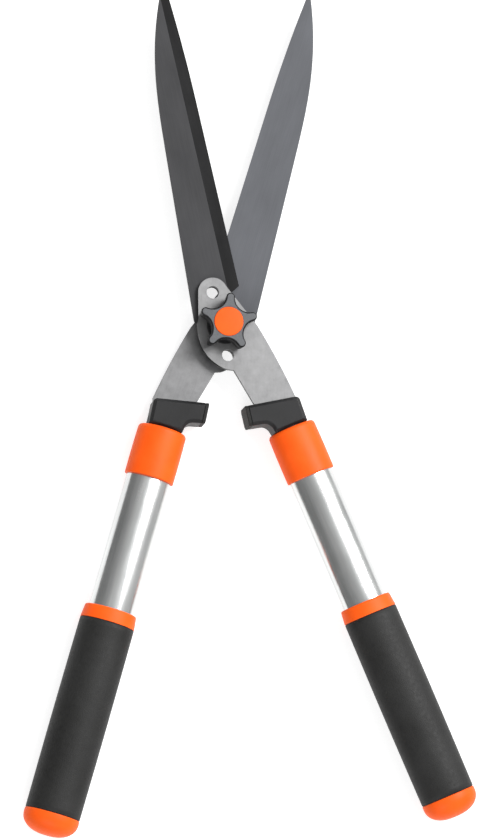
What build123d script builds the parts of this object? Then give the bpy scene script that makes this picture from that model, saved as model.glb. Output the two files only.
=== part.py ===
from build123d import *

import os
from math import cos, radians, sin

os.makedirs("parts", exist_ok=True)

# Hedge shears, lying flat. The pivot axis is Z, the blade tips point to +Y and the handles to -Y.
# The origin is on the pivot axis, at the back face of the pivot bolt's head; +Z is the knob side.
# The front half has its blade on the left (-X) and its handle on the right (+X); the back half is
# the other way round and lies behind it. The shears stand open, as they are modelled.
# Signs: side = +1 is the half whose handle is on the right, side = -1 the half with it on the left.
FRONT = 1
BACK = -1

# Stack along the pivot, from the back
head_height = 3.2
plate = 3.4  # thickness of a tang plate
blade = 3.2  # thickness of a blade
shear_gap = 0.15
z_back_tang = head_height
z_back_blade = z_back_tang + plate
z_front_blade = z_back_blade + blade + shear_gap
z_front_tang = z_front_blade + blade
z_tang_top = z_front_tang + plate
z_handle = z_back_blade + blade  # the handles' axes lie in the shear plane

# How far each half stands open, as the lean of its blade and of its tang from the Y axis
blade_lean = {FRONT: 13.8, BACK: 16.4}
tang_turn = {FRONT: 0.0, BACK: 2.1}
handle_lean = {FRONT: 24.0, BACK: 15.0}
handle_x = {FRONT: 16.8, BACK: -22.0}  # where the handle's axis crosses the X axis
bumper_angle = {FRONT: 13.8, BACK: 10.9}  # radial faces where the two bumpers meet

# Blades
blade_length = 250.0
edge_x = 16.8  # the cutting edge runs this far past the pivot
heel_y = {FRONT: 26.2, BACK: 28.5}  # the back heel is higher, clear of the hang hole in front of it
straight_y = 160.0  # the cutting edge is straight up to here, then curves to the tip
tip_x = 13.3
tip_radius = 1.2
bevel_x = 8.1  # inner line of the ground bevel
bevel_start_y = 22.0
land = 0.7  # thickness left at the cutting edge
hub_radius = 15.5

# Tangs
upper_hole = (-9.0, 23.2)
upper_hole_radius = 4.35
upper_lobe = 10.3
lower_hole = (2.2, -20.6)
lower_hole_radius = 4.15
lower_hole_slack = 1.0  # the back half has the wider hole, so a nail passes freely
tang_tail_width = 15.0
tang_tail_end = 92.0
tang_tail_start = 50.0

# Pivot
bolt_radius = 4.0
bolt_head_radius = 10.0
bolt_square = 9.6
bolt_top = 29.5
running_gap = 0.05
bush_radius = 6.4
rivet_circle = 10.4
rivet_radius = 1.9
thrust_washer_radius = 13.0
thrust_washer_height = 1.3
spring_washer_height = 1.5
knob_base = z_tang_top + 0.1 + thrust_washer_height + 0.1 + spring_washer_height + 0.1
knob_height = 14.6
knob_tip_radius = 20.3
knob_flute_circle = 22.6
knob_flute_radius = 10.0
knob_turn_angle = 86.2  # one of the five points stands this far round from +X
nut_across_flats = 13.0
nut_height = 6.5
cap_radius = 10.1
cap_recess = 2.4

# Handles: half sizes across and through, and stations along the handle's axis from its crossing
tube_half = (15.7, 11.5)
tube_wall = 1.4
neck_half = (12.4, 9.6)
collar_half = (17.4, 14.0)
ring_top_half = (18.2, 14.0)
grip_half = (19.2, 15.0)
fit_gap = 0.05
collar_top = 76.0
tube_top = 88.5
collar_bottom = 112.0
neck_end = 150.0
ring_top = 207.0
grip_top = 216.5
grip_bottom = 352.5
cap_lip = 3.0
cap_plug = 14.0
handle_end = 367.5

# Sockets
socket_thickness = 22.0
head_end = -75.8  # the head stops just above the collar
neck_start = 70.0
armpit_radius = 6.5
corner_radius = 3.0
socket_screws = (63.0, 72.0)
tube_screw = 100.0
socket_edge = 2.0
bumper_pad = 2.5
screw_radius = 2.0
screw_head_radius = 3.6
screw_head_height = 2.0


def blade_plane(side, z):
    """Plane with +Y along the blade of this half."""
    lean = side * blade_lean[side]
    return Plane((0, 0, z), x_dir=(cos(radians(lean)), sin(radians(lean)), 0), z_dir=(0, 0, 1))


def tang_plane(side, z):
    """Plane of this half's tang; the back half's is turned a little towards the middle."""
    turn = tang_turn[side]
    return Plane((0, 0, z), x_dir=(cos(radians(turn)), sin(radians(turn)), 0), z_dir=(0, 0, 1))


def handle_plane(side, z):
    """Plane with -Y along the handle of this half."""
    lean = side * handle_lean[side]
    x_dir = (cos(radians(lean)), sin(radians(lean)), 0)
    return Plane((handle_x[side], 0, z), x_dir=x_dir, z_dir=(0, 0, 1))


def across(side, station):
    """Plane square to the handle's axis at a station, facing its free end, with +Y upwards."""
    flat = handle_plane(side, z_handle)
    origin = flat.from_local_coords((0, -station, 0))
    return Plane(origin, x_dir=flat.x_dir, z_dir=-flat.y_dir)


def radial_plane(angle, back_off):
    """Plane through the pivot axis at an angle from -Y, moved back_off mm away from the middle."""
    normal = Vector(cos(radians(angle)), sin(radians(angle)), 0)
    return Plane(normal * back_off, z_dir=normal)


def save(piece, label):
    """Names a finished piece and writes it."""
    piece.part.label = label
    export_step(piece.part, "parts/" + label + ".step")


def blade_outline(side):
    """Blade seen from the front, tip up, with its cutting edge towards side * X."""
    with BuildLine() as line:
        edge = Line((side * edge_x, heel_y[side]), (side * edge_x, straight_y))
        belly = TangentArc(edge @ 1, (side * tip_x, blade_length), tangent=edge % 1)
        spine = Line((side * -19.8, 8), (side * -12.5, 128))
        Spline(
            spine @ 1,
            (side * -7.0, 185),
            (side * 1.8, 221),
            belly @ 1,
            tangents=(spine % 1, (side * 0.42, 0.9)),
        )
        Line(spine @ 0, (side * -hub_radius, 2))
        hub = ThreePointArc((side * -hub_radius, 2), (0, -hub_radius), (side * 13.5, 7.6))
        Polyline(hub @ 1, (side * 6.8, 20.6), edge @ 0)
    make_face(line.edges())


def tang_outline(side):
    """Tang plate: two lobes round the hang holes, a leg towards the handle and a narrow tail."""
    with BuildLine() as line:
        left = Line((side * -19.3, 23.2), (side * -18.9, 4.0))
        top = ThreePointArc(left @ 0, (side * -8.6, 33.5), (side * 0.2, 28.0))
        shoulder = Line(top @ 1, (side * 22.6, 0.8))
        outer = ThreePointArc(shoulder @ 1, (side * 37.2, -23.7), (side * 50.3, -49.0))
        end = Polyline(outer @ 1, (side * 50.3, -52.2), (side * 23.4, -58.4), (side * 6.4, -31.0))
        bottom = Line(end @ 1, (side * 2.2, -30.8))
        ThreePointArc(bottom @ 1, (side * -15.4, -17.0), left @ 1)
    make_face(line.edges())


def hub_holes(side, z, height):
    """Cuts the holes of this half out of a plate or blade that starts at z."""
    wider = 0.0 if side == FRONT else lower_hole_slack
    with BuildSketch(Plane.XY.offset(z)) as hub:
        with Locations(lower_hole):
            Circle(lower_hole_radius + wider)
        with PolarLocations(rivet_circle, 4, start_angle=45):
            Circle(rivet_radius)
        if side == FRONT:
            Circle(bush_radius)
            with Locations(upper_hole):
                Circle(upper_hole_radius)
        else:
            Rectangle(bolt_square + 2 * fit_gap, bolt_square + 2 * fit_gap)
    extrude(hub.sketch, amount=height, mode=Mode.SUBTRACT)


def make_blade(side, z, label):
    """Ground blade: the bevel is on the outer face, so the two flat faces slide on each other."""
    flat = blade_plane(side, z)
    outer = blade if side == FRONT else 0.0
    thin = land if side == FRONT else blade - land
    beyond = edge_x + 4
    past = outer + (thin - outer) * (beyond - bevel_x) / (edge_x - bevel_x)
    start = flat.from_local_coords((0, bevel_start_y, 0))
    with BuildPart() as piece:
        with BuildSketch(flat) as outline:
            blade_outline(side)
            fillet(outline.vertices().sort_by(Axis.Y)[-1], tip_radius)
        extrude(amount=blade)
        with BuildSketch(Plane(start, x_dir=flat.x_dir, z_dir=-flat.y_dir)):
            with BuildLine():
                Polyline(
                    (side * bevel_x, outer),
                    (side * beyond, past),
                    (side * beyond, outer),
                    close=True,
                )
            make_face()
        extrude(amount=-blade_length, mode=Mode.SUBTRACT)
        hub_holes(side, z, blade)
    save(piece, label)


def tang_tail(side, slack):
    """Narrow end of the tang inside the socket and neck, along the handle's axis."""
    with Locations((0, -(tang_tail_start + tang_tail_end) / 2)):
        Rectangle(tang_tail_width + 2 * slack, tang_tail_end - tang_tail_start + 2 * slack)


def make_tang(side, z, label):
    """Flat steel tang, one piece from the pivot into the socket, with screw holes in its tail."""
    with BuildPart() as piece:
        with BuildSketch(tang_plane(side, z)):
            tang_outline(side)
        extrude(amount=plate)
        with BuildSketch(handle_plane(side, z)):
            tang_tail(side, 0)
        extrude(amount=plate)
        with BuildSketch(handle_plane(side, z)):
            with Locations(*[(0, -station) for station in socket_screws]):
                Circle(screw_radius + fit_gap)
        extrude(amount=plate, mode=Mode.SUBTRACT)
        hub_holes(side, z, plate)
    save(piece, label)


def make_rivets(side, z, label):
    """Four rivets that hold a blade to its tang, flush on both faces."""
    with BuildPart() as piece:
        with BuildSketch(Plane.XY.offset(z)):
            with PolarLocations(rivet_circle, 4, start_angle=45):
                Circle(rivet_radius)
        extrude(amount=plate + blade)
    save(piece, label)


def make_pivot():
    """Bolt fixed in the back half, and the bush of the front half that turns on it."""
    with BuildPart() as bolt:
        with BuildSketch(Plane.XY):
            Circle(bolt_head_radius)
        extrude(amount=head_height)
        fillet(bolt.edges().group_by(Axis.Z)[0], 1.0)
        with BuildSketch(Plane.XY.offset(head_height)):
            Rectangle(bolt_square, bolt_square)
        extrude(amount=plate + blade)
        with BuildSketch(Plane.XY.offset(z_handle)):
            Circle(bolt_radius)
        extrude(amount=bolt_top - z_handle)
        chamfer(bolt.edges().group_by(Axis.Z)[-1], 0.8)
    save(bolt, "pivot_bolt")
    with BuildPart() as bush:
        with BuildSketch(Plane.XY.offset(z_front_blade)):
            Circle(bush_radius)
            Circle(bolt_radius + running_gap, mode=Mode.SUBTRACT)
        extrude(amount=blade + plate)
    save(bush, "pivot_bush")


def make_washers():
    """Flat thrust washer on the front tang, and the dished spring washer under the knob."""
    base = z_tang_top + 0.1
    bore = bolt_radius + 0.3
    with BuildPart() as thrust:
        with BuildSketch(Plane.XY.offset(base)):
            Circle(thrust_washer_radius)
            Circle(bore, mode=Mode.SUBTRACT)
        extrude(amount=thrust_washer_height)
        fillet(thrust.edges().group_by(Axis.Z)[-1].sort_by(SortBy.RADIUS)[-1], 0.4)
    save(thrust, "thrust_washer")
    low = base + thrust_washer_height + 0.1
    rise = 0.6
    thick = spring_washer_height - rise
    with BuildPart() as spring:
        with BuildSketch(Plane.XZ):
            with BuildLine():
                Polyline(
                    (bore, low + rise),
                    (thrust_washer_radius - 2, low),
                    (thrust_washer_radius - 2, low + thick),
                    (bore, low + rise + thick),
                    close=True,
                )
            make_face()
        revolve(axis=Axis.Z)
    save(spring, "spring_washer")


def make_knob():
    """Five-point star knob with its hexagon nut and the round cap that closes its top."""
    nut_base = knob_base + 0.6
    cap_base = knob_base + knob_height - cap_recess
    with BuildPart() as knob:
        with BuildSketch(Plane.XY.offset(knob_base)) as star:
            Circle(knob_tip_radius)
            with PolarLocations(knob_flute_circle, 5, start_angle=knob_turn_angle + 36):
                Circle(knob_flute_radius, mode=Mode.SUBTRACT)
            fillet(star.vertices(), 2.6)
        extrude(amount=knob_height)
        chamfer(knob.faces().sort_by(Axis.Z)[-1].edges(), 1.3)
        chamfer(knob.faces().sort_by(Axis.Z)[0].edges(), 0.6)
        with BuildSketch(Plane.XY.offset(nut_base)):
            RegularPolygon(nut_across_flats / 2 + fit_gap, 6, major_radius=False)
        extrude(amount=nut_height, mode=Mode.SUBTRACT)
        with BuildSketch(Plane.XY.offset(knob_base)):
            Circle(bolt_radius + 0.3)
        extrude(amount=bolt_top + 0.8 - knob_base, mode=Mode.SUBTRACT)
        with BuildSketch(Plane.XY.offset(cap_base)):
            Circle(cap_radius + fit_gap)
        extrude(amount=cap_recess, mode=Mode.SUBTRACT)
    save(knob, "star_knob")
    with BuildPart() as nut:
        with BuildSketch(Plane.XY.offset(nut_base)):
            RegularPolygon(nut_across_flats / 2, 6, major_radius=False)
            Circle(bolt_radius + running_gap, mode=Mode.SUBTRACT)
        extrude(amount=nut_height)
    save(nut, "knob_nut")
    with BuildPart() as cap:
        with BuildSketch(Plane.XY.offset(cap_base)):
            Circle(cap_radius)
        extrude(amount=cap_recess + 0.9)
        fillet(cap.edges().group_by(Axis.Z)[-1], 0.8)
    save(cap, "knob_cap")


def socket_outline(side):
    """Socket head with its bumper arm, in the handle's own plane."""
    corner = (side * 12.6, -57.9)
    armpit = (side * -14.0, -67.8)
    with BuildLine() as line:
        Polyline(
            (side * -40.0, -47.5),
            corner,
            (side * 11.4, head_end),
            (side * -12.8, head_end),
            armpit,
            (side * -42.0, -61.5),
            close=True,
        )
    with BuildSketch() as outline:
        make_face(line.edges())
        fillet(outline.vertices().sort_by_distance(armpit)[0], armpit_radius)
        fillet(outline.vertices().sort_by_distance(corner)[0], corner_radius)
    return outline.sketch


def socket_head(side):
    """Solid of the socket head and its arm, before the arm is cut to length."""
    base = z_handle - socket_thickness / 2
    extrude(handle_plane(side, base) * socket_outline(side), amount=socket_thickness)


def make_socket(side, name):
    """Moulded socket that grips the tang, with the neck that fills the tube and the bumper arm."""
    z_tang = z_front_tang if side == FRONT else z_back_tang
    angle = side * bumper_angle[side]
    base = z_handle - socket_thickness / 2
    keep = Keep.TOP if side == FRONT else Keep.BOTTOM
    with BuildPart() as socket:
        socket_head(side)
        front = socket.faces().sort_by(Axis.Z)[-1]
        back = socket.faces().sort_by(Axis.Z)[0]
        chamfer(front.edges() + back.edges(), socket_edge)
        with BuildSketch(across(side, neck_start)):
            Ellipse(*neck_half)
        extrude(amount=tube_top + 1.0 - neck_start)
        with BuildSketch(across(side, tube_top + 1.0)):
            Ellipse(tube_half[0] - tube_wall - fit_gap, tube_half[1] - tube_wall - fit_gap)
        extrude(amount=neck_end - tube_top - 1.0)
        split(bisect_by=radial_plane(angle, side * bumper_pad), keep=keep)
        with BuildSketch(tang_plane(side, z_tang - fit_gap)):
            tang_outline(side)
        extrude(amount=plate + 2 * fit_gap, mode=Mode.SUBTRACT)
        with BuildSketch(handle_plane(side, z_tang - fit_gap)):
            tang_tail(side, fit_gap)
        extrude(amount=plate + 2 * fit_gap, mode=Mode.SUBTRACT)
        with BuildSketch(handle_plane(side, base)):
            with Locations(*[(0, -station) for station in socket_screws]):
                Circle(screw_radius)
        extrude(amount=z_tang + plate + 3.0 - base, mode=Mode.SUBTRACT)
        with BuildSketch(handle_plane(side, base)):
            with Locations(*[(0, -station) for station in socket_screws]):
                Circle(screw_head_radius + fit_gap)
        extrude(amount=screw_head_height, mode=Mode.SUBTRACT)
        with BuildSketch(handle_plane(side, z_handle - collar_half[1])):
            with Locations((0, -tube_screw)):
                Circle(screw_radius)
        extrude(amount=collar_half[1] - 1.0, mode=Mode.SUBTRACT)
    save(socket, name + "_socket")


def make_bumper(side, name):
    """Rubber pad on the end of the arm; the two pads meet when the blades are closed."""
    angle = side * bumper_angle[side]
    outer = Keep.TOP if side == FRONT else Keep.BOTTOM
    inner = Keep.BOTTOM if side == FRONT else Keep.TOP
    with BuildPart() as pad:
        socket_head(side)
        faces = pad.faces().sort_by(Axis.Z)
        chamfer(faces[-1].edges() + faces[0].edges(), socket_edge)
        split(bisect_by=radial_plane(angle, 0), keep=outer)
        split(bisect_by=radial_plane(angle, side * bumper_pad), keep=inner)
    save(pad, name + "_bumper_pad")


def make_socket_screws(side, name):
    """Two screws from the back that lock the tang in its socket."""
    z_tang = z_front_tang if side == FRONT else z_back_tang
    base = z_handle - socket_thickness / 2
    with BuildPart() as screws:
        for station in socket_screws:
            with BuildSketch(handle_plane(side, base + 0.3)):
                with Locations((0, -station)):
                    Circle(screw_head_radius)
            extrude(amount=screw_head_height - 0.3)
            with BuildSketch(handle_plane(side, base + screw_head_height)):
                with Locations((0, -station)):
                    Circle(screw_radius)
            extrude(amount=z_tang + plate + 2.5 - base - screw_head_height)
    save(screws, name + "_socket_screws")


def make_collar(side, name):
    """Oval collar with a rounded shoulder, over the end of the tube and round the neck."""
    with BuildPart() as collar:
        with BuildSketch(across(side, collar_top)):
            Ellipse(*collar_half)
        extrude(amount=collar_bottom - collar_top)
        ends = collar.edges().sort_by(Axis(across(side, 0).origin, across(side, 0).z_dir))
        fillet(ends[0], 4.2)
        fillet(ends[-1], 0.8)
        with BuildSketch(across(side, collar_top)):
            Ellipse(neck_half[0] + fit_gap, neck_half[1] + fit_gap)
        extrude(amount=tube_top - fit_gap - collar_top, mode=Mode.SUBTRACT)
        tube_bore(side, tube_top - fit_gap, collar_bottom)
        cut_tube_screw(side, screw_radius)
        with BuildSketch(handle_plane(side, z_handle - collar_half[1] - 1.0)):
            with Locations((0, -tube_screw)):
                Circle(screw_head_radius + fit_gap)
        extrude(amount=1.0 + screw_head_height, mode=Mode.SUBTRACT)
    save(collar, name + "_collar")


def cut_tube_screw(side, radius):
    """Hole for the screw through the collar and the tube wall, from the back."""
    with BuildSketch(handle_plane(side, z_handle - collar_half[1] - 1.0)) as hole:
        with Locations((0, -tube_screw)):
            Circle(radius)
    extrude(hole.sketch, amount=collar_half[1] - 4.0, mode=Mode.SUBTRACT)


def make_tube(side, name):
    """Drawn oval aluminium tube."""
    with BuildPart() as tube:
        with BuildSketch(across(side, tube_top)):
            Ellipse(*tube_half)
            Ellipse(tube_half[0] - tube_wall, tube_half[1] - tube_wall, mode=Mode.SUBTRACT)
        extrude(amount=grip_bottom - 1.0 - tube_top)
        cut_tube_screw(side, screw_radius)
    save(tube, name + "_tube")


def make_tube_screw(side, name):
    """Screw that ties collar, tube and neck together; its head sits in the back of the collar."""
    base = z_handle - collar_half[1]
    with BuildPart() as screw:
        with BuildSketch(handle_plane(side, base + 0.4)):
            with Locations((0, -tube_screw)):
                Circle(screw_head_radius)
        extrude(amount=screw_head_height - 0.4)
        with BuildSketch(handle_plane(side, base + screw_head_height)):
            with Locations((0, -tube_screw)):
                Circle(screw_radius)
        extrude(amount=collar_half[1] - screw_head_height - 1.2)
    save(screw, name + "_tube_screw")


def tube_bore(side, start, end):
    """Removes the room for the tube between two stations."""
    with BuildSketch(across(side, start)) as bore:
        Ellipse(tube_half[0] + fit_gap, tube_half[1] + fit_gap)
    extrude(bore.sketch, amount=end - start, mode=Mode.SUBTRACT)


def make_grip(side, name):
    """Ring, foam grip and end cap at the free end of the tube."""
    with BuildPart() as ring:
        with BuildSketch(across(side, ring_top)):
            Ellipse(*ring_top_half)
        with BuildSketch(across(side, grip_top)):
            Ellipse(*grip_half)
        loft()
        tube_bore(side, ring_top, grip_top)
    save(ring, name + "_grip_ring")
    with BuildPart() as grip:
        with BuildSketch(across(side, grip_top)):
            Ellipse(*grip_half)
        extrude(amount=grip_bottom - grip_top)
        tube_bore(side, grip_top, grip_bottom)
    save(grip, name + "_grip")
    dome = handle_end - grip_bottom - cap_lip
    with BuildPart() as cap:
        with BuildSketch(across(side, grip_bottom)):
            Ellipse(*grip_half)
        extrude(amount=cap_lip)
        for angle in (0, 20, 40, 60, 78):
            shrink = cos(radians(angle))
            with BuildSketch(across(side, grip_bottom + cap_lip + dome * sin(radians(angle)))):
                Ellipse(grip_half[0] * shrink, grip_half[1] * shrink)
        loft()
        with BuildSketch(across(side, grip_bottom)):
            Ellipse(tube_half[0] - tube_wall - fit_gap, tube_half[1] - tube_wall - fit_gap)
        extrude(amount=-cap_plug)
    save(cap, name + "_end_cap")


def make_half(side, name, half):
    """All the pieces of one half, from its blade to its end cap."""
    z_tang = z_front_tang if side == FRONT else z_back_tang
    z_blade = z_front_blade if side == FRONT else z_back_blade
    make_blade(side, z_blade, half + "_blade")
    make_tang(side, z_tang, half + "_tang")
    make_rivets(side, min(z_tang, z_blade), half + "_rivets")
    make_socket(side, name)
    make_bumper(side, name)
    make_socket_screws(side, name)
    make_collar(side, name)
    make_tube(side, name)
    make_tube_screw(side, name)
    make_grip(side, name)


make_half(FRONT, "right", "front")
make_half(BACK, "left", "back")
make_pivot()
make_washers()
make_knob()
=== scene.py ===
import logging
import math
from dataclasses import dataclass, field
from enum import Enum
from typing import Optional, Sequence

import bmesh
import bpy
import numpy as np
from mathutils import Matrix, Vector


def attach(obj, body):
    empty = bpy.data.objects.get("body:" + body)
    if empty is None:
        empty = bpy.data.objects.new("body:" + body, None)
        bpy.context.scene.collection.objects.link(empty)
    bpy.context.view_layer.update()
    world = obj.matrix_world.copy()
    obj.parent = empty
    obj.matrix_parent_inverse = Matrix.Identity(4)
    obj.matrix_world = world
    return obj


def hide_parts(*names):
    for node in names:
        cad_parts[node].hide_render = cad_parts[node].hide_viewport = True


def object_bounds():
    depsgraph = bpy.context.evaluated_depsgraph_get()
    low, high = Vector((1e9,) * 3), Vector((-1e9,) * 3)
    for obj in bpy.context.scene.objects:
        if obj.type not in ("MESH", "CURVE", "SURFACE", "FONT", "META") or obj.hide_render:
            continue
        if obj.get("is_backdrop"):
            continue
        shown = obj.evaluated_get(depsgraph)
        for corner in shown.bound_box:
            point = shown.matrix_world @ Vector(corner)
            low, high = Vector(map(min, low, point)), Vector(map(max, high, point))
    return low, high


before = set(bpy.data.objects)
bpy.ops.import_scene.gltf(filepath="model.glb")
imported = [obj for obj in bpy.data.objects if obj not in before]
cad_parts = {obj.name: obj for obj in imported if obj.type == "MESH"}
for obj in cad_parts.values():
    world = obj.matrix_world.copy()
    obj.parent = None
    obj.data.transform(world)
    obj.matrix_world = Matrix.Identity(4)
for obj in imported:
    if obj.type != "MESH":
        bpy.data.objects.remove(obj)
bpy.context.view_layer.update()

LOG = logging.getLogger("hedge_shears")
MM = 0.001
Colour = tuple[float, float, float]

LEG_SHARE = 0.49  # most of a side that one rounded corner may take
WELD = 2e-6  # vertices of a CAD copy closer than this are one (m)
FLAT_ANGLE = 0.4  # faces bent by less than this become one (degrees)
EDGE_ANGLE = 28.0  # edges bent by more than this are rounded (degrees)

# upright part of the normal at which a mask starts and ends
# the first mask picks upward faces for a painted top light, lighter to stand in for light falling on
# the top
PAINTED_TOP_LIGHT_MASK = (0.9, 0.985)
CUT_WALL = (0.5, 0.9)
BEVEL = (0.965, 0.985)


class Side(Enum):
    """The two halves of the shears, by the side their handle is on."""

    RIGHT = 1.0
    LEFT = -1.0


class Slot(Enum):
    """The record's material slots, named with each new piece."""

    BLACK = "black_plastic"
    ORANGE = "orange_plastic"
    TUBE = "tube_aluminium"
    FOAM = "grip_foam"
    PAD = "pad_rubber"
    FASTENER = "fastener_steel"


# ---------------------------------------------------------------- shader building


class Shader:
    """A small helper that lays out the nodes of one material."""

    def __init__(self, name: str) -> None:
        """Starts a material that holds one principled shader.

        Args:
            name: name of the material.
        """
        self.material = bpy.data.materials.new(name)
        self.material.use_nodes = True
        self.tree = self.material.node_tree
        self.body = self.tree.nodes["Principled BSDF"]

    def node(self, kind: str, **settings: object) -> bpy.types.Node:
        """Adds a node.

        Args:
            kind: Blender's node type.
            settings: attributes of the node, or input sockets by name.

        Returns:
            The new node.
        """
        made = self.tree.nodes.new(kind)
        for key, value in settings.items():
            if key in made.inputs.keys():
                made.inputs[key].default_value = value
            else:
                setattr(made, key, value)
        return made

    def link(self, source: bpy.types.NodeSocket, target: bpy.types.NodeSocket) -> None:
        """Joins an output to an input."""
        self.tree.links.new(source, target)

    def constants(self, **values: object) -> None:
        """Sets the shader's own sockets, with underscores standing for spaces."""
        for key, value in values.items():
            self.body.inputs[key.replace("_", " ")].default_value = value

    def place(self, stretch: Sequence[float], turn: float = 0.0,
              uv: bool = False) -> bpy.types.NodeSocket:
        """Coordinates for a pattern.

        Args:
            stretch: scale of the pattern along each axis, in 1/m.
            turn: degrees that the pattern is turned about Z before it is scaled.
            uv: read the piece's own UV map instead of object coordinates.

        Returns:
            The socket that holds the coordinates.
        """
        source = self.node("ShaderNodeTexCoord")
        turned = self.node("ShaderNodeMapping")
        turned.inputs["Rotation"].default_value = (0.0, 0.0, math.radians(turn))
        scaled = self.node("ShaderNodeMapping")
        scaled.inputs["Scale"].default_value = tuple(stretch)
        self.link(source.outputs["UV" if uv else "Object"], turned.inputs["Vector"])
        self.link(turned.outputs["Vector"], scaled.inputs["Vector"])
        return scaled.outputs["Vector"]

    def even(self, scale: float) -> bpy.types.NodeSocket:
        """Object coordinates scaled the same way along each axis, in 1/m."""
        return self.place((scale, scale, scale))

    def noise(self, where: bpy.types.NodeSocket, detail: float = 3.0,
              roughness: float = 0.55) -> bpy.types.NodeSocket:
        """Cloudy noise of unit size in the given coordinates.

        Args:
            where: coordinates.
            detail: number of finer layers.
            roughness: strength of the finer layers.

        Returns:
            The noise value.
        """
        made = self.node("ShaderNodeTexNoise", Scale=1.0, Detail=detail, Roughness=roughness)
        self.link(where, made.inputs["Vector"])
        return made.outputs["Fac"]

    def cells(self, where: bpy.types.NodeSocket) -> bpy.types.NodeSocket:
        """Distance to the nearest cell centre, for pores and moulded grain."""
        made = self.node("ShaderNodeTexVoronoi", Scale=1.0)
        self.link(where, made.inputs["Vector"])
        return made.outputs["Distance"]

    def spread(self, value: bpy.types.NodeSocket, low: float, high: float, start: float = 0.3,
               end: float = 0.7) -> bpy.types.NodeSocket:
        """Maps the range start..end of a value to low..high, held at the ends.

        Args:
            value: value to map.
            low: result at start.
            high: result at end.
            start: value that gives low.
            end: value that gives high.

        Returns:
            The mapped value.
        """
        made = self.node("ShaderNodeMapRange")
        for socket, number in zip(made.inputs[1:5], (start, end, low, high)):
            socket.default_value = number
        self.link(value, made.inputs["Value"])
        return made.outputs["Result"]

    def shade(self, factor: bpy.types.NodeSocket, dark: Colour,
              light: Colour) -> bpy.types.NodeSocket:
        """Blends from one colour to another.

        Args:
            factor: 0 gives dark and 1 gives light.
            dark: first colour.
            light: second colour.

        Returns:
            The blended colour.
        """
        made = self.node("ShaderNodeMix", data_type="RGBA")
        made.inputs[6].default_value = (*dark, 1.0)
        made.inputs[7].default_value = (*light, 1.0)
        self.link(factor, made.inputs[0])
        return made.outputs[2]

    def blend(self, factor: bpy.types.NodeSocket, first: bpy.types.NodeSocket,
              second: bpy.types.NodeSocket) -> bpy.types.NodeSocket:
        """Blends two colours that come from other nodes."""
        made = self.node("ShaderNodeMix", data_type="RGBA")
        self.link(factor, made.inputs[0])
        self.link(first, made.inputs[6])
        self.link(second, made.inputs[7])
        return made.outputs[2]

    def sum(self, first: bpy.types.NodeSocket, second: bpy.types.NodeSocket,
            share: float) -> bpy.types.NodeSocket:
        """First value plus a share of the second."""
        made = self.node("ShaderNodeMath", operation="MULTIPLY_ADD")
        made.inputs[1].default_value = share
        self.link(second, made.inputs[0])
        self.link(first, made.inputs[2])
        return made.outputs[0]

    def lying(self, start: float, end: float) -> bpy.types.NodeSocket:
        """How nearly the surface lies flat.

        Args:
            start: upright part of the normal, up or down, that gives 0.
            end: upright part of the normal that gives 1.

        Returns:
            The mask.
        """
        surface = self.node("ShaderNodeNewGeometry")
        split = self.node("ShaderNodeSeparateXYZ")
        size = self.node("ShaderNodeMath", operation="ABSOLUTE")
        self.link(surface.outputs["Normal"], split.inputs[0])
        self.link(split.outputs["Z"], size.inputs[0])
        return self.spread(size.outputs[0], 0.0, 1.0, start, end)

    def relief(self, height: bpy.types.NodeSocket, depth: float, strength: float = 1.0) -> None:
        """Adds surface relief.

        Args:
            height: height pattern, 0 to 1.
            depth: height of the relief in metres.
            strength: share of the relief that is used.
        """
        made = self.node("ShaderNodeBump", Strength=strength, Distance=depth)
        self.link(height, made.inputs["Height"])
        self.link(made.outputs["Normal"], self.body.inputs["Normal"])


# ---------------------------------------------------------------- finishes


@dataclass(frozen=True)
class MouldedPlastic:
    """Injection-moulded plastic with a fine spark-eroded grain, faint flow marks and an optional
    painted top light.
    """

    name: str
    dark: Colour
    light: Colour
    roughness: tuple[float, float] = (0.42, 0.56)
    grain: float = 1700.0
    depth: float = 0.00006
    specular: float = 0.45
    # colour of the upward faces: a painted top light, lighter than the flanks to stand in for the
    # light on the top
    top: Optional[Colour] = None
    top_light_range: float = 1.35
    flow: float = 55.0
    pit_share: float = 0.7

    def material(self) -> bpy.types.Material:
        """Builds the material."""
        shader = Shader(self.name)
        shader.constants(Metallic=0.0, Specular_IOR_Level=self.specular)
        flow = shader.noise(shader.even(self.flow), 4.0)
        fine = shader.noise(shader.even(self.grain), 2.0, 0.6)
        pits = shader.cells(shader.even(self.grain * self.pit_share))
        colour = shader.shade(shader.spread(flow, 0.0, 1.0), self.dark, self.light)
        # painted top light: faces that look up get a lighter grey, standing in for the light that
        # falls on them
        if self.top:
            light = tuple(self.top_light_range * c for c in self.top)
            painted_top_light = shader.shade(shader.spread(fine, 0.0, 1.0), self.top, light)
            colour = shader.blend(shader.lying(*PAINTED_TOP_LIGHT_MASK), colour, painted_top_light)
        shader.link(colour, shader.body.inputs["Base Color"])
        mixed = shader.sum(flow, fine, 0.8)
        shader.link(shader.spread(mixed, *self.roughness, 0.6, 1.2),
                    shader.body.inputs["Roughness"])
        shader.relief(shader.sum(fine, pits, 0.5), self.depth, 0.7)
        return shader.material


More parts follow.
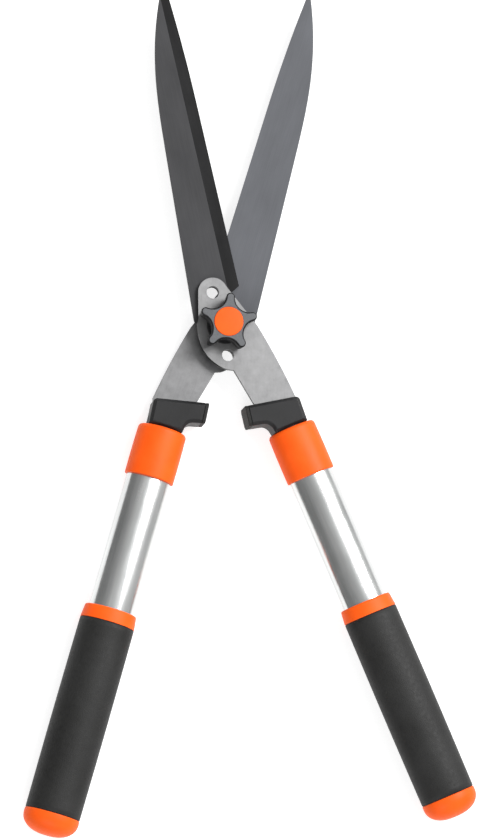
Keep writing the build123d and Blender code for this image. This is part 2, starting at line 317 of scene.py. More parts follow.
@dataclass(frozen=True)
class PlateSteel:
    """Pressed steel with a satin plated face, mottled and finely rubbed, and dark cut edges."""

    name: str
    dark: Colour
    light: Colour
    metallic: float = 0.75
    roughness: tuple[float, float] = (0.36, 0.5)
    turn: float = 0.0
    rub: tuple[float, float, float] = (900.0, 60.0, 900.0)
    cut: Optional[Colour] = None
    cut_range: float = 1.6
    mottle: float = 140.0
    peel: float = 1500.0
    depth: float = 0.00004

    def material(self) -> bpy.types.Material:
        """Builds the material."""
        shader = Shader(self.name)
        shader.constants(Metallic=self.metallic)
        mottle = shader.noise(shader.even(self.mottle), 5.0, 0.65)
        rubbed = shader.noise(shader.place(self.rub, self.turn), 3.0)
        peel = shader.noise(shader.even(self.peel), 2.0)
        tone = shader.sum(mottle, rubbed, 0.35)
        face = shader.shade(shader.spread(tone, 0.0, 1.0, 0.45, 0.9), self.dark, self.light)
        # side walls get a darker colour than the face, chosen by how upright the normal is
        if self.cut:
            light = tuple(self.cut_range * c for c in self.cut)
            edge = shader.shade(shader.spread(mottle, 0.0, 1.0), self.cut, light)
            face = shader.blend(shader.lying(*CUT_WALL), edge, face)
        shader.link(face, shader.body.inputs["Base Color"])
        shader.link(shader.spread(shader.sum(rubbed, mottle, 0.6), *self.roughness, 0.6, 1.0),
                    shader.body.inputs["Roughness"])
        shader.relief(shader.sum(peel, rubbed, 0.6), self.depth, 0.55)
        return shader.material


@dataclass(frozen=True)
class CoatedBlade:
    """Satin low-friction coating on a blade, with a ground bevel where the surface leans."""

    name: str
    dark: Colour
    light: Colour
    bevel: Colour
    turn: float
    metallic: float = 0.0
    specular: float = 0.08
    roughness: tuple[float, float] = (0.42, 0.54)
    brushed: tuple[float, float, float] = (1400.0, 26.0, 900.0)
    cloud: tuple[float, float, float] = (45.0, 22.0, 45.0)
    ground: tuple[float, float, float] = (60.0, 1600.0, 60.0)
    bevel_range: float = 0.8
    depth: float = 0.00003

    def material(self) -> bpy.types.Material:
        """Builds the material."""
        shader = Shader(self.name)
        shader.constants(Metallic=self.metallic, Specular_IOR_Level=self.specular)
        brushed = shader.noise(shader.place(self.brushed, self.turn), 4.0, 0.6)
        cloud = shader.noise(shader.place(self.cloud, self.turn), 3.0)
        tone = shader.sum(cloud, brushed, 0.5)
        flat = shader.shade(shader.spread(tone, 0.0, 1.0, 0.5, 1.0), self.dark, self.light)
        ground = shader.noise(shader.place(self.ground, self.turn), 3.0)
        dark = tuple(self.bevel_range * c for c in self.bevel)
        edge = shader.shade(shader.spread(ground, 0.0, 1.0), dark, self.bevel)
        shader.link(shader.blend(shader.lying(*BEVEL), edge, flat),
                    shader.body.inputs["Base Color"])
        shader.link(shader.spread(tone, *self.roughness, 0.5, 1.0), shader.body.inputs["Roughness"])
        shader.relief(shader.sum(brushed, ground, 0.15), self.depth, 0.5)
        return shader.material


@dataclass(frozen=True)
class DrawnAluminium:
    """Bright drawn tube: long die lines that run with the tube, and faint handling haze."""

    name: str
    colour: Colour = (0.82, 0.83, 0.82)
    worn: Colour = (0.50, 0.51, 0.51)
    roughness: tuple[float, float] = (0.16, 0.3)
    lines: tuple[float, float, float] = (95.0, 5.0, 1.0)
    bands: tuple[float, float, float] = (30.0, 2.5, 1.0)
    haze: float = 60.0
    depth: float = 0.00006

    def material(self) -> bpy.types.Material:
        """Builds the material."""
        shader = Shader(self.name)
        shader.constants(Metallic=1.0)
        lines = shader.noise(shader.place(self.lines, uv=True), 5.0, 0.7)
        bands = shader.noise(shader.place(self.bands, uv=True), 2.0)
        haze = shader.noise(shader.even(self.haze), 3.0)
        tone = shader.sum(bands, lines, 0.8)
        shader.link(shader.shade(shader.spread(tone, 0.0, 1.0, 0.6, 1.15), self.worn, self.colour),
                    shader.body.inputs["Base Color"])
        shader.link(shader.spread(shader.sum(lines, haze, 0.5), *self.roughness, 0.5, 1.0),
                    shader.body.inputs["Roughness"])
        shader.relief(tone, self.depth, 0.6)
        return shader.material


@dataclass(frozen=True)
class ClosedFoam:
    """Dense closed-cell foam with small pores and a dry, dusty sheen."""

    name: str
    dark: Colour = (0.007, 0.007, 0.0065)
    light: Colour = (0.017, 0.017, 0.0165)
    roughness: tuple[float, float] = (0.52, 0.68)
    pores: float = 1500.0
    skin: float = 420.0
    smudge: float = 35.0
    depth: float = 0.00012

    def material(self) -> bpy.types.Material:
        """Builds the material."""
        shader = Shader(self.name)
        shader.constants(Metallic=0.0, Specular_IOR_Level=0.34, Sheen_Weight=0.03,
                         Sheen_Roughness=0.5)
        pores = shader.cells(shader.even(self.pores))
        skin = shader.noise(shader.even(self.skin), 4.0, 0.6)
        smudge = shader.noise(shader.even(self.smudge), 3.0)
        shader.link(shader.shade(shader.spread(shader.sum(smudge, skin, 0.6), 0.0, 1.0, 0.55, 1.05),
                                 self.dark, self.light), shader.body.inputs["Base Color"])
        shader.link(shader.spread(skin, *self.roughness), shader.body.inputs["Roughness"])
        shader.relief(shader.sum(skin, pores, 0.9), self.depth, 0.6)
        return shader.material


@dataclass(frozen=True)
class Rubber:
    """Soft black rubber with a fine moulded grain."""

    name: str
    dark: Colour = (0.010, 0.010, 0.010)
    light: Colour = (0.022, 0.022, 0.021)
    roughness: tuple[float, float] = (0.6, 0.78)
    grain: float = 1100.0
    depth: float = 0.0001
    specular: float = 0.3

    def material(self) -> bpy.types.Material:
        """Builds the material."""
        return MouldedPlastic(self.name, self.dark, self.light, self.roughness, self.grain,
                              self.depth, self.specular).material()


# ---------------------------------------------------------------- surfaces


def rounded_path(points: np.ndarray, radii: np.ndarray, steps: int, closed: bool) -> np.ndarray:
    """Polyline whose corners are rounded.

    Each corner becomes a rational quadratic arc: it starts one radius before the corner, ends one
    radius after it and is drawn towards the corner with a weight of cos 45 degrees, which is a true
    quarter circle at a square corner. A leg takes at most LEG_SHARE of the shorter side.

    Args:
        points: corners, one per row, in any number of dimensions.
        radii: rounding of each corner.
        steps: points on each arc.
        closed: join the last corner to the first.

    Returns:
        The rounded path, one point per row.
    """
    before = np.roll(points, 1, axis=0) - points
    after = np.roll(points, -1, axis=0) - points
    long_before = np.linalg.norm(before, axis=1)
    long_after = np.linalg.norm(after, axis=1)
    reach = np.minimum(radii, LEG_SHARE * np.minimum(long_before, long_after))[:, None]
    start = points + before / long_before[:, None] * reach
    end = points + after / long_after[:, None] * reach
    t = np.linspace(0.0, 1.0, steps)[None, :, None]
    weight = math.cos(math.pi / 4)
    corner = 2 * t * (1 - t) * weight
    top = (1 - t) ** 2 * start[:, None] + corner * points[:, None] + t**2 * end[:, None]
    arcs = top / ((1 - t) ** 2 + corner + t**2)
    if closed:
        return arcs.reshape(-1, points.shape[1])
    inner = arcs[1:-1].reshape(-1, points.shape[1])
    return np.vstack([points[:1], inner, points[-1:]])


def add_mesh(name: str, vertices: np.ndarray, faces: Sequence[Sequence[int]], sharp: float,
             uv: Optional[np.ndarray] = None) -> bpy.types.Object:
    """Makes a mesh object and turns its faces outward.

    The signed volume of the closed shell is added up from the faces' fans. If it is negative, every
    face is turned round.

    Args:
        name: name of the piece.
        vertices: points in metres, one per row.
        faces: corner numbers of each face.
        sharp: edges bent by more than this many degrees stay sharp.
        uv: one UV pair for each corner of each face, in order.

    Returns:
        The new object.
    """
    mesh = bpy.data.meshes.new(name)
    mesh.from_pydata(vertices, [], faces)
    if uv is not None:
        layer = mesh.uv_layers.new(name="UVMap")
        layer.data.foreach_set("uv", uv.ravel())
    mesh.calc_loop_triangles()
    corners = np.zeros(len(mesh.loop_triangles) * 3, np.int32)
    mesh.loop_triangles.foreach_get("vertices", corners)
    a, b, c = (vertices[corners.reshape(-1, 3)[:, k]] for k in range(3))
    if np.einsum("ij,ij->i", a, np.cross(b, c)).sum() < 0:
        mesh.flip_normals()
    mesh.validate()
    mesh.shade_smooth()
    mesh.set_sharp_from_angle(angle=math.radians(sharp))
    piece = bpy.data.objects.new(name, mesh)
    bpy.context.scene.collection.objects.link(piece)
    return piece


def add_grid(name: str, grid: np.ndarray, ring: bool, sharp: float = 32.0) -> bpy.types.Object:
    """Makes a closed shell from rows of points that each go round once.

    The rows are joined by four-sided faces. If the shell is a ring, the last row joins the first.
    Otherwise each end closes in a pole at the middle of its row. The UV map has the distance round
    the widest row as u and the distance along the first column as v, both in metres.

    Args:
        name: name of the piece.
        grid: points in metres, as rows, columns, xyz.
        ring: join the last row to the first.
        sharp: edges bent by more than this many degrees stay sharp.

    Returns:
        The new object.
    """
    rows, columns = grid.shape[:2]
    index = np.arange(rows * columns).reshape(rows, columns)
    loop = np.vstack([index, index[:1]]) if ring else index
    right = np.roll(loop, -1, axis=1)
    quads = np.stack([loop[:-1], right[:-1], right[1:], loop[1:]], axis=-1).reshape(-1, 4)
    closed = np.concatenate([grid, grid[:, :1]], axis=1)
    girth = np.linalg.norm(np.diff(closed, axis=1), axis=2).sum(axis=1).max()
    u = np.linspace(0.0, girth, columns + 1)
    path = grid[:, 0] if not ring else np.vstack([grid[:, 0], grid[:1, 0]])
    v = np.concatenate([[0.0], np.cumsum(np.linalg.norm(np.diff(path, axis=0), axis=1))])
    low_u, low_v = np.meshgrid(u[:-1], v[:-1])
    high_u, high_v = np.meshgrid(u[1:], v[1:])
    uv = np.stack([low_u, low_v, high_u, low_v, high_u, high_v, low_u, high_v], axis=-1)
    uv = uv.reshape(-1, 2)
    vertices = grid.reshape(-1, 3)
    faces = quads.tolist()
    if not ring:
        poles = np.stack([grid[0].mean(axis=0), grid[-1].mean(axis=0)])
        vertices = np.vstack([vertices, poles])
        first, last = rows * columns, rows * columns + 1
        start = np.stack([np.full(columns, first), np.roll(index[0], -1), index[0]], axis=-1)
        end = np.stack([np.full(columns, last), index[-1], np.roll(index[-1], -1)], axis=-1)
        faces += start.tolist() + end.tolist()
        fan = np.tile(np.array([[girth / 2, 0.0]]), (3 * columns, 1))
        uv = np.vstack([uv, fan, fan + [[0.0, v[-1]]]])
    return add_mesh(name, vertices, faces, sharp, uv)


def smoothed_copy(node: str, name: str, width: float, segments: int = 2) -> bpy.types.Object:
    """Copies a CAD node as one clean mesh and rounds its edges.

    The copy's loose triangles are joined and its flat areas become single faces. A bevel of the
    given width then rounds every edge bent by more than EDGE_ANGLE.

    Args:
        node: name of the CAD node.
        name: name of the new piece.
        width: width of the rounding in millimetres.
        segments: faces across the rounding.

    Returns:
        The new object.
    """
    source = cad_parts[node]
    mesh = bpy.data.meshes.new(name)
    work = bmesh.new()
    work.from_mesh(source.data)
    bmesh.ops.remove_doubles(work, verts=work.verts, dist=WELD)
    bmesh.ops.dissolve_limit(work, angle_limit=math.radians(FLAT_ANGLE), verts=work.verts,
                             edges=work.edges)
    work.to_mesh(mesh)
    work.free()
    for attribute in [a for a in mesh.attributes if a.name == "custom_normal"]:
        mesh.attributes.remove(attribute)
    mesh.shade_smooth()
    mesh.set_sharp_from_angle(angle=math.radians(EDGE_ANGLE))
    piece = bpy.data.objects.new(name, mesh)
    bpy.context.scene.collection.objects.link(piece)
    bevel = piece.modifiers.new("rounding", "BEVEL")
    bevel.width = width * MM
    bevel.segments = segments
    bevel.limit_method = "ANGLE"
    bevel.angle_limit = math.radians(EDGE_ANGLE)
    bevel.use_clamp_overlap = False
    bevel.harden_normals = True
    bevel.miter_outer = "MITER_ARC"
    return piece


def register(piece: bpy.types.Object, body: str, finish: bpy.types.Material, slot: Slot,
             *nodes: str) -> None:
    """Gives a new piece its finish, its body and the CAD nodes that it stands for.

    Args:
        piece: the new piece.
        body: CAD body that it rides on.
        finish: its material.
        slot: the record's material slot; not used.
        nodes: CAD nodes that it replaces.
    """
    piece.data.materials.clear()
    piece.data.materials.append(finish)
    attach(piece, body)
    if nodes:
        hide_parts(*nodes)
    LOG.info("%s rides on %s with %d faces", piece.name, body, len(piece.data.polygons))


def dress(node: str, finish: bpy.types.Material) -> None:
    """Gives a CAD node that stays in view its finish."""
    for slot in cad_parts[node].material_slots:
        slot.material = finish
    LOG.info("%s keeps its CAD shape", node)


# ---------------------------------------------------------------- the handles


@dataclass(frozen=True)
class HandleAxis:
    """Straight axis of one handle, in millimetres and degrees."""

    side: Side
    lean: float
    crossing: float
    height: float = 9.8

    def point(self, across: np.ndarray, along: np.ndarray, up: np.ndarray) -> np.ndarray:
        """Turns distances from the axis into points.

        The point is the crossing of the axis with the X axis, plus the distance along the handle
        towards its free end, the distance across it away from the other handle, and the height.

        Args:
            across: distances across the handle, away from the other one.
            along: distances along the axis from its crossing with the X axis.
            up: heights above the axis.

        Returns:
            Points in metres, with xyz as the last dimension.
        """
        side, lean = self.side.value, math.radians(self.lean)
        x = self.crossing + side * (across * math.cos(lean) + along * math.sin(lean))
        y = across * math.sin(lean) - along * math.cos(lean)
        return np.stack([x, y, self.height + up], axis=-1) * MM

    def oval(self, name: str, path: np.ndarray, ring: bool, columns: int = 120,
             sharp: float = 32.0) -> bpy.types.Object:
        """Carries an oval along the axis.

        At each station the section is an ellipse, half width times cos t across the handle and half
        depth times sin t upwards, with t once round.

        Args:
            name: name of the piece.
            path: rows of station, half width and half depth.
            ring: the path comes back along the bore and closes.
            columns: points round each section.
            sharp: edges bent by more than this many degrees stay sharp.

        Returns:
            The new piece.
        """
        t = np.linspace(0.0, 2 * math.pi, columns, endpoint=False)
        across = path[:, 1:2] * np.cos(t)
        up = path[:, 2:3] * np.sin(t)
        along = np.broadcast_to(path[:, 0:1], across.shape)
        return add_grid(name, self.point(across, along, up), ring, sharp)


@dataclass
class Finishes:
    """Every material of the shears, made once."""

    black: bpy.types.Material = field(init=False)
    knob_black: bpy.types.Material = field(init=False)
    orange: bpy.types.Material = field(init=False)
    foam: bpy.types.Material = field(init=False)
    rubber: bpy.types.Material = field(init=False)
    tube: bpy.types.Material = field(init=False)
    front_blade: bpy.types.Material = field(init=False)
    back_blade: bpy.types.Material = field(init=False)
    front_tang: bpy.types.Material = field(init=False)
    back_tang: bpy.types.Material = field(init=False)
    blackened_and_shade: bpy.types.Material = field(init=False)
    zinc: bpy.types.Material = field(init=False)

    def __post_init__(self) -> None:
        """Builds the materials."""
        self.black = MouldedPlastic("socket_plastic", (0.009, 0.009, 0.0095), (0.016, 0.016, 0.017),
                                    specular=0.28).material()
        # the knob's last colour is its painted top light: its top faces are lighter grey to stand in
        # for the light on them
        self.knob_black = MouldedPlastic("knob_plastic", (0.004, 0.004, 0.0045),
                                         (0.007, 0.007, 0.008), (0.38, 0.5), 1500.0, 0.00003, 0.14,
                                         (0.108, 0.111, 0.117)).material()
        self.orange = MouldedPlastic("orange_plastic", (0.93, 0.098, 0.004), (1.0, 0.122, 0.008),
                                     (0.40, 0.54), 1300.0, 0.00004, 0.2).material()
        self.foam = ClosedFoam("grip_foam").material()
        self.rubber = Rubber("pad_rubber").material()
        self.tube = DrawnAluminium("tube_aluminium").material()
        self.front_blade = CoatedBlade("front_blade_coating", (0.045, 0.045, 0.047),
                                       (0.063, 0.063, 0.066), (0.005, 0.005, 0.0055),
                                       -13.8).material()
        self.back_blade = CoatedBlade("back_blade_coating", (0.099, 0.102, 0.111),
                                      (0.126, 0.130, 0.142), (0.06, 0.06, 0.066), 16.4).material()
        # darker colour for the plates' side walls
        side_wall_dark = (0.02, 0.02, 0.02)
        self.front_tang = PlateSteel("front_tang_steel", (0.196, 0.196, 0.198),
                                     (0.262, 0.262, 0.264), cut=side_wall_dark).material()
        self.back_tang = PlateSteel("back_tang_steel", (0.170, 0.170, 0.172), (0.230, 0.230, 0.233),
                                    turn=20.0, cut=side_wall_dark).material()
        # washer colour: partly a blackened finish, partly painted shade standing in for the shadow
        # under the knob
        self.blackened_and_shade = PlateSteel("washer_blackened_and_shaded", (0.020, 0.020, 0.021),
                                    (0.036, 0.036, 0.038), 0.5, (0.4, 0.55)).material()
        self.zinc = PlateSteel("plated_fastener", (0.46, 0.46, 0.47), (0.66, 0.66, 0.67), 0.95,
                               (0.25, 0.4)).material()


@dataclass(frozen=True)
class Handle:
    """Socket, collar, tube, ring, foam grip and end cap of one half (mm)."""

    axis: HandleAxis
    body: str
    name: str
    tube: tuple[float, float] = (15.7, 11.5)
    tube_wall: float = 1.4
    tube_top: float = 88.5
    tube_bottom: float = 351.5
    neck: tuple[float, float] = (12.4, 9.6)
    collar: tuple[float, float] = (17.4, 14.0)
    collar_top: float = 76.0
    collar_bottom: float = 112.0
    ring_half: tuple[float, float] = (18.2, 14.0)
    ring_top: float = 207.0
    grip: tuple[float, float] = (19.2, 15.0)
    grip_top: float = 216.5
    grip_bottom: float = 352.5
    lip: float = 3.0
    plug: float = 14.0
    end: float = 367.5
    gap: float = 0.05
    collar_shoulder: float = 4.2
    foam_swell: float = 0.25
    foam_edge: float = 0.7
    foam_start: float = 0.6
    cap_overhang: float = 0.1
    dome_power: float = 0.8
    dome_turn: float = 88.0

    def bore(self) -> tuple[float, float]:
        """Half sizes of a bore that takes the tube."""
        return self.tube[0] + self.gap, self.tube[1] + self.gap

    def add_socket(self, finishes: Finishes) -> None:
        """Black moulded socket with its bumper arm, and the rubber pad on the arm's end."""
        socket = smoothed_copy(self.name + "_socket", self.name + "_socket_shell", 0.5, 3)
        register(socket, self.body, finishes.black, Slot.BLACK, self.name + "_socket")
        pad = smoothed_copy(self.name + "_bumper_pad", self.name + "_bumper_block", 0.6, 3)
        register(pad, self.body, finishes.rubber, Slot.PAD, self.name + "_bumper_pad")

    def add_screws(self, finishes: Finishes) -> None:
        """Screws that lock the tang and the tube, seen from the back."""
        for kind in ("_socket_screws", "_tube_screw"):
            piece = smoothed_copy(self.name + kind, self.name + kind + "_set", 0.25)
            register(piece, self.body, finishes.zinc, Slot.FASTENER, self.name + kind)

    def add_collar(self, finishes: Finishes) -> None:
        """Orange barrel over the tube's end.

        The path goes round the wall: a rounded shoulder, a belly a little proud in the middle, a
        small lip at the lower end and back up through the wide and the narrow bore.
        """
        a, b = self.collar
        bore_a, bore_b = self.bore()
        neck_a, neck_b = self.neck[0] + self.gap, self.neck[1] + self.gap
        middle = (self.collar_top + self.collar_bottom) / 2
        corners = np.array([
            (self.collar_top, neck_a, neck_b),
            (self.collar_top, a - 0.3, b - 0.3),
            (middle, a, b),
            (self.collar_bottom, a - 0.1, b - 0.1),
            (self.collar_bottom, bore_a, bore_b),
            (self.tube_top - self.gap, bore_a, bore_b),
            (self.tube_top - self.gap, neck_a, neck_b),
        ])
        radii = np.array([0.3, self.collar_shoulder, 8.0, 0.9, 0.3, 0.2, 0.2])
        path = rounded_path(corners, radii, 9, True)
        piece = self.axis.oval(self.name + "_collar_barrel", path, True)
        register(piece, self.body, finishes.orange, Slot.ORANGE, self.name + "_collar")

    def add_tube(self, finishes: Finishes) -> None:
        """Drawn oval tube with its wall, cut square at both ends."""
        a, b = self.tube
        wall = self.tube_wall
        corners = np.array([
            (self.tube_top, a, b),
            (self.tube_bottom, a, b),
            (self.tube_bottom, a - wall, b - wall),
            (self.tube_top, a - wall, b - wall),
        ])
        path = rounded_path(corners, np.full(4, 0.25), 4, True)
        piece = self.axis.oval(self.name + "_tube_drawn", path, True, 160)
        register(piece, self.body, finishes.tube, Slot.TUBE, self.name + "_tube")

    def add_ring(self, finishes: Finishes) -> None:
        """Orange ring that widens towards the foam."""
        bore_a, bore_b = self.bore()
        a, b = self.grip
        top_a, top_b = self.ring_half
        corners = np.array([
            (self.ring_top, bore_a, bore_b),
            (self.ring_top, top_a, top_b),
            (self.grip_top, a, b),
            (self.grip_top, bore_a, bore_b),
        ])
        path = rounded_path(corners, np.array([0.3, 1.3, 0.35, 0.2]), 8, True)
        ring = self.axis.oval(self.name + "_ring_band", path, True)
        register(ring, self.body, finishes.orange, Slot.ORANGE, self.name + "_grip_ring")

    def add_foam(self, finishes: Finishes) -> None:
        """Foam sleeve that swells in a half sine between its ends."""
        bore_a, bore_b = self.bore()
        a, b = self.grip
        edge = self.foam_edge
        t = np.linspace(0.0, 1.0, 40)
        length = self.grip_bottom - self.grip_top - 2 * self.foam_start
        stations = self.grip_top + self.foam_start + length * t
        swell = self.foam_swell * np.sin(math.pi * t) - self.gap
        outer = np.stack([stations, a + swell, b + swell], axis=-1)
        lead = np.array([(self.grip_top, bore_a, bore_b), (self.grip_top, a - edge, b - edge)])
        tail = np.array([(self.grip_bottom, a - edge, b - edge),
                         (self.grip_bottom, bore_a, bore_b)])
        path = np.vstack([lead, outer, tail])
        foam = self.axis.oval(self.name + "_foam_sleeve", path, True, 120, 50.0)
        register(foam, self.body, finishes.foam, Slot.FOAM, self.name + "_grip")

    def add_end(self, finishes: Finishes) -> None:
        """Orange end cap: a plug in the tube, a short straight lip and a dome.

        The dome's station grows with the sine of a turn, and its width shrinks with the cosine
        raised to a power a little below one, which makes it fuller than an ellipsoid.
        """
        a, b = self.grip[0] + self.cap_overhang, self.grip[1] + self.cap_overhang
        inset = self.tube_wall + self.gap
        inner_a, inner_b = self.tube[0] - inset, self.tube[1] - inset
        start = self.grip_bottom
        dome = self.end - start - self.lip
        turn = np.radians(np.linspace(0.0, self.dome_turn, 26))[1:]
        bulge = np.cos(turn) ** self.dome_power
        corners = np.array([
            (start - self.plug, 0.4 * inner_a, 0.4 * inner_b),
            (start - self.plug, inner_a, inner_b),
            (start, inner_a, inner_b),
            (start, a, b),
            (start + self.lip, a, b),
        ])
        body = rounded_path(corners, np.array([0.0, 1.2, 0.2, 0.8, 0.0]), 7, False)
        end = np.stack([start + self.lip + dome * np.sin(turn), a * bulge, b * bulge], axis=-1)
        cap = self.axis.oval(self.name + "_end_dome", np.vstack([body, end]), False)
        register(cap, self.body, finishes.orange, Slot.ORANGE, self.name + "_end_cap")

    def build(self, finishes: Finishes) -> None:
        """Builds and dresses the whole handle."""
        self.add_socket(finishes)
        self.add_screws(finishes)
        self.add_collar(finishes)
        self.add_tube(finishes)
        self.add_ring(finishes)
        self.add_foam(finishes)
        self.add_end(finishes)


# ---------------------------------------------------------------- the knob and the pivot


@dataclass(frozen=True)
class StarKnob:
    """Five-point star knob and its round cap, on the pivot axis (mm)."""

    base: float = 19.65
    height: float = 14.6
    tip_radius: float = 20.3
    tip_round: float = 3.0
    waist: float = 12.1
    turn: float = 86.2
    cap_radius: float = 10.1
    cap_recess: float = 2.4
    cap_rise: float = 0.9
    draft: float = 0.9
    foot: float = 2.4
    rim: float = 1.2
    rim_drop: float = 0.17
    seat_gap: float = 0.15
    crown: float = 0.3
    points: int = 5

    def outline(self, columns: int) -> tuple[np.ndarray, np.ndarray]:
        """Outline of the star, by angle.

        Each point is a circle of the tip's rounding. Between two points runs a hollow circle that
        touches both. Its distance c from the middle follows from the waist w, the rounding q and
        the distance t of the tip's circle: c = (t^2 - (w - q)^2) / (2 (t cos 36 - (w - q))). The
        radius at an angle is where the ray leaves the tip's circle or meets the hollow one.

        Args:
            columns: number of angles.

        Returns:
            The angles and the radius at each one.
        """
        angle = np.linspace(0.0, 2 * math.pi, columns, endpoint=False)
        step = 2 * math.pi / self.points
        tip_angle = (angle + step / 2) % step - step / 2
        flute_angle = angle % step - step / 2
        t = self.tip_radius - self.tip_round
        reach = self.waist - self.tip_round
        c = (t**2 - reach**2) / (2 * (t * math.cos(step / 2) - reach))
        flute = c - self.waist
        inside = np.maximum(flute**2 - (c * np.sin(flute_angle)) ** 2, 0.0)
        hollow = c * np.cos(flute_angle) - np.sqrt(inside)
        room = np.maximum(self.tip_round**2 - (t * np.sin(tip_angle)) ** 2, 0.0)
        point = t * np.cos(tip_angle) + np.sqrt(room)
        share = self.tip_round / (self.tip_round + flute)
        middle = c * np.array([math.cos(step / 2), math.sin(step / 2)])
        touch = np.array([t, 0.0]) * (1 - share) + middle * share
        limit = math.atan2(touch[1], touch[0])
        return angle, np.where(np.abs(tip_angle) < limit, point, hollow)

    def rings(self, profile: np.ndarray, columns: int) -> np.ndarray:
        """Carries the star's outline up a profile.

        Every ring is the outline moved inwards along its own normal by the profile's inset.

        Args:
            profile: rows of inset and height.
            columns: points round each ring.

        Returns:
            Points in millimetres, as rows, columns, xyz.
        """
        angle, radius = self.outline(columns)
        angle = angle + math.radians(self.turn)
        flat = np.stack([radius * np.cos(angle), radius * np.sin(angle)], axis=-1)
        along = np.roll(flat, -1, axis=0) - np.roll(flat, 1, axis=0)
        normal = np.stack([along[:, 1], -along[:, 0]], axis=-1)
        normal /= np.linalg.norm(normal, axis=1)[:, None]
        plan = flat[None] - profile[:, 0, None, None] * normal[None]
        up = np.broadcast_to(profile[:, 1, None, None], plan.shape[:2] + (1,))
        return np.concatenate([plan, up], axis=-1)

    def add_body(self, finish: bpy.types.Material, columns: int = 360) -> None:
        """Star body: foot, flank, rounded rim, gently domed top and the seat of the cap.

        Over the top the outline blends into a circle while the height follows a shallow dome.
        """
        top = self.base + self.height
        profile = rounded_path(np.array([
            (self.foot, self.base), (self.draft, self.base), (0.0, top - 3.0), (0.0, top - 0.3),
            (2.0, top),
        ]), np.array([0.0, 0.6, 3.0, self.rim, 0.0]), 9, False)
        flank = self.rings(profile[:-1], columns)
        rim = self.rings(np.array([(1.1, top - self.rim_drop)]), columns)[0]
        angle = np.linspace(0.0, 2 * math.pi, columns, endpoint=False) + math.radians(self.turn)
        circle = np.stack([np.cos(angle), np.sin(angle)], axis=-1)
        seat = (self.cap_radius + self.seat_gap) * circle
        t = np.linspace(0.0, 1.0, 14)[:, None, None]
        plan = rim[None, :, :2] * (1 - t) + seat[None] * t
        out = np.linalg.norm(plan, axis=-1, keepdims=True)
        beyond = np.clip(out - self.cap_radius, 0, None) / (self.tip_radius - self.cap_radius)
        face = np.concatenate([plan, top - self.rim_drop * beyond**1.5], axis=-1)
        well = np.stack([seat * k for k in (0.985, 0.985, 0.3)])
        depth = np.array([top - 0.3, top - self.cap_recess, top - self.cap_recess])
        up = np.broadcast_to(depth[:, None, None], (3, columns, 1))
        grid = np.concatenate([flank, face, np.concatenate([well, up], axis=-1)]) * MM
        piece = add_grid("star_knob_body", grid, False, 38.0)
        register(piece, "knob", finish, Slot.BLACK, "star_knob")

    def add_cap(self, finish: bpy.types.Material, columns: int = 96) -> None:
        """Round cap: straight side, rounded rim and a shallow dome over the middle."""
        seat = self.base + self.height - self.cap_recess
        top = self.base + self.height + self.cap_rise
        radius = np.linspace(self.cap_radius - 1.0, 0.4, 10)
        height = top - self.crown * (radius / self.cap_radius) ** 2
        corners = np.array([
            (1.0, seat), (self.cap_radius, seat), (self.cap_radius, top - self.crown),
            (self.cap_radius - 1.0, top - 0.25),
        ])
        side = rounded_path(corners, np.array([0.0, 0.3, 0.8, 0.0]), 7, False)
        path = np.vstack([side, np.stack([radius[1:], height[1:]], axis=-1)])
        t = np.linspace(0.0, 2 * math.pi, columns, endpoint=False)
        grid = np.stack([path[:, :1] * np.cos(t), path[:, :1] * np.sin(t),
                         np.broadcast_to(path[:, 1:], (len(path), columns))], axis=-1)
        piece = add_grid("knob_cap_disc", grid * MM, False, 40.0)
        register(piece, "knob", finish, Slot.ORANGE, "knob_cap")

    def build(self, finishes: Finishes) -> None:
        """Builds the knob and the nut inside it."""
        self.add_body(finishes.knob_black)
        self.add_cap(finishes.orange)
        dress("knob_nut", finishes.zinc)


@dataclass(frozen=True)
class Pivot:
    """Blades, tangs, rivets, bolt, bush and washers."""

    def build(self, finishes: Finishes) -> None:
        """Dresses the plates, rivets, bush and washers, and rounds the bolt's head."""
        dress("front_blade", finishes.front_blade)
        dress("back_blade", finishes.back_blade)
        dress("front_tang", finishes.front_tang)
        dress("back_tang", finishes.back_tang)
        for node in ("front_rivets", "back_rivets", "pivot_bush"):
            dress(node, finishes.zinc)
        # the washers' near-black colour is partly painted shade for the shadow under the knob
        for node in ("thrust_washer", "spring_washer"):
            dress(node, finishes.blackened_and_shade)
        register(smoothed_copy("pivot_bolt", "pivot_bolt_turned", 0.5), "back_half", finishes.zinc,
                 Slot.FASTENER, "pivot_bolt")


# ---------------------------------------------------------------- the studio


@dataclass(frozen=True)
class Lamp:
    """Square soft light that faces the middle of the shears (metres, watts)."""

    name: str
    place: tuple[float, float, float]
    power: float
    size: float = 1.3
    target: tuple[float, float, float] = (0.0, -0.05, 0.0)

    def build(self) -> None:
        """Adds the light."""
        data = bpy.data.lights.new(self.name, "AREA")
        data.size = self.size
        data.energy = self.power
        light = bpy.data.objects.new(self.name, data)
        bpy.context.scene.collection.objects.link(light)
        light.location = self.place
        light.rotation_mode = "QUATERNION"
        aim = Vector(self.target) - Vector(self.place)
        light.rotation_quaternion = aim.to_track_quat("-Z", "Y")


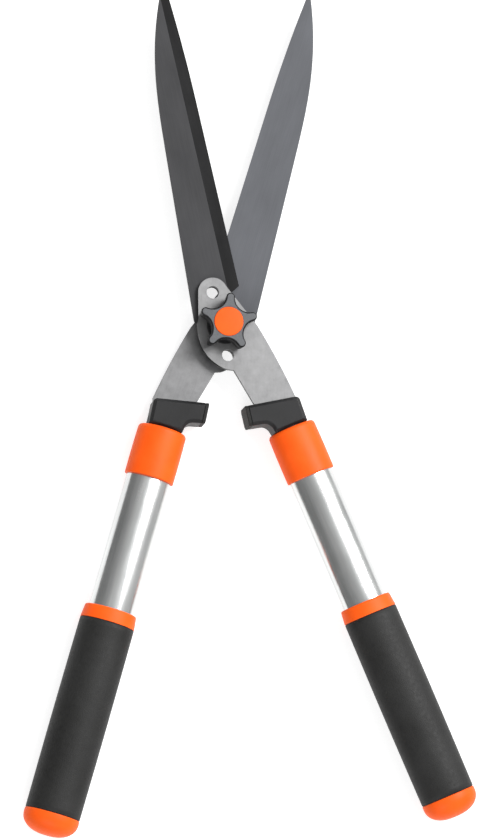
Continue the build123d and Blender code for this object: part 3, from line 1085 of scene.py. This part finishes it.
@dataclass(frozen=True)
class Studio:
    """Pale floor, soft light and the camera.

    The camera's turn is a rotation vector in radians and its offset is in mm. Its focal length is in
    the same unit as the frame's long side, and the sensor's width in mm. The floor is in metres, and
    the sky pairs a place from left to right with a brightness.
    """

    turn: tuple[float, float, float] = (-0.15403, 0.14379, -0.02406)
    offset: tuple[float, float, float] = (-12.6, 62.6, -3123.9)
    focal: float = 4480.0
    frame_long_side: float = 839.0
    sensor: float = 36.0
    lamps: tuple[Lamp, ...] = (
        Lamp("key", (1.5, 0.9, 2.3), 85.0),
        Lamp("fill", (-0.7, -1.8, 1.7), 16.0),
    )
    floor_half: float = 5.0
    floor_gap: float = 0.0004
    floor_glow: float = 0.75
    floor_dark: Colour = (0.50, 0.50, 0.50)
    floor_light: Colour = (0.53, 0.53, 0.53)
    floor_cloud: float = 3.0
    sky_strength: float = 0.75
    sky: tuple[tuple[float, float], ...] = (
        (0.0, 0.3), (0.16, 0.34), (0.34, 0.55), (0.5, 0.9), (0.66, 1.0), (0.84, 0.9), (1.0, 0.8),
    )

    def add_camera(self) -> None:
        """Camera above the shears, a little to the left and below, with a long lens."""
        data = bpy.data.cameras.new("camera")
        data.sensor_width = self.sensor
        data.lens = self.focal / self.frame_long_side * self.sensor
        data.clip_end = 100.0
        camera = bpy.data.objects.new("camera", data)
        bpy.context.scene.collection.objects.link(camera)
        bpy.context.scene.camera = camera
        axis = Vector(self.turn)
        view = Matrix.Rotation(axis.length, 4, axis.normalized())
        place = Matrix.Translation(Vector(self.offset) * MM) @ view
        camera.matrix_world = place.inverted()

    def add_floor(self) -> None:
        """Wide pale floor that the shears lie on, lit from below like a light table."""
        height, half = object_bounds()[0].z - self.floor_gap, self.floor_half
        mesh = bpy.data.meshes.new("floor")
        corners = [(-half, -half, height), (half, -half, height), (half, half, height),
                   (-half, half, height)]
        mesh.from_pydata(corners, [], [(0, 1, 2, 3)])
        floor = bpy.data.objects.new("floor", mesh)
        bpy.context.scene.collection.objects.link(floor)
        shader = Shader("floor_paint")
        shader.constants(Roughness=0.9, Specular_IOR_Level=0.1, Emission_Color=(1.0, 1.0, 1.0, 1.0),
                         Emission_Strength=self.floor_glow)
        cloud = shader.noise(shader.even(self.floor_cloud), 2.0)
        shader.link(shader.shade(cloud, self.floor_dark, self.floor_light),
                    shader.body.inputs["Base Color"])
        mesh.materials.append(shader.material)
        floor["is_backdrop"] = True

    def add_sky(self) -> None:
        """Even studio surroundings, darker to the left than to the right."""
        world = bpy.data.worlds.new("studio")
        bpy.context.scene.world = world
        world.use_nodes = True
        tree = world.node_tree
        back = tree.nodes["Background"]
        where = tree.nodes.new("ShaderNodeTexCoord")
        split = tree.nodes.new("ShaderNodeSeparateXYZ")
        ramp = tree.nodes.new("ShaderNodeValToRGB")
        scale = tree.nodes.new("ShaderNodeMapRange")
        scale.inputs["From Min"].default_value = -1.0
        tree.links.new(where.outputs["Generated"], split.inputs[0])
        tree.links.new(split.outputs["X"], scale.inputs["Value"])
        tree.links.new(scale.outputs["Result"], ramp.inputs["Fac"])
        tree.links.new(ramp.outputs["Color"], back.inputs["Color"])
        elements = ramp.color_ramp.elements
        while len(elements) < len(self.sky):
            elements.new(0.5)
        for element, (position, tone) in zip(elements, self.sky):
            element.position = position
            element.color = (tone, tone, tone, 1.0)
        back.inputs["Strength"].default_value = self.sky_strength

    def build(self) -> None:
        """Builds the studio."""
        self.add_camera()
        self.add_floor()
        self.add_sky()
        for lamp in self.lamps:
            lamp.build()
        bpy.context.scene.view_settings.view_transform = "Standard"


def main() -> None:
    """Builds the studio and every piece of the shears."""
    logging.basicConfig(level=logging.INFO, format="%(message)s")
    Studio().build()
    finishes = Finishes()
    Pivot().build(finishes)
    StarKnob().build(finishes)
    Handle(HandleAxis(Side.RIGHT, 24.0, 16.8), "front_half", "right").build(finishes)
    Handle(HandleAxis(Side.LEFT, 15.0, -22.0), "back_half", "left").build(finishes)


if __name__ == "__main__":
    main()
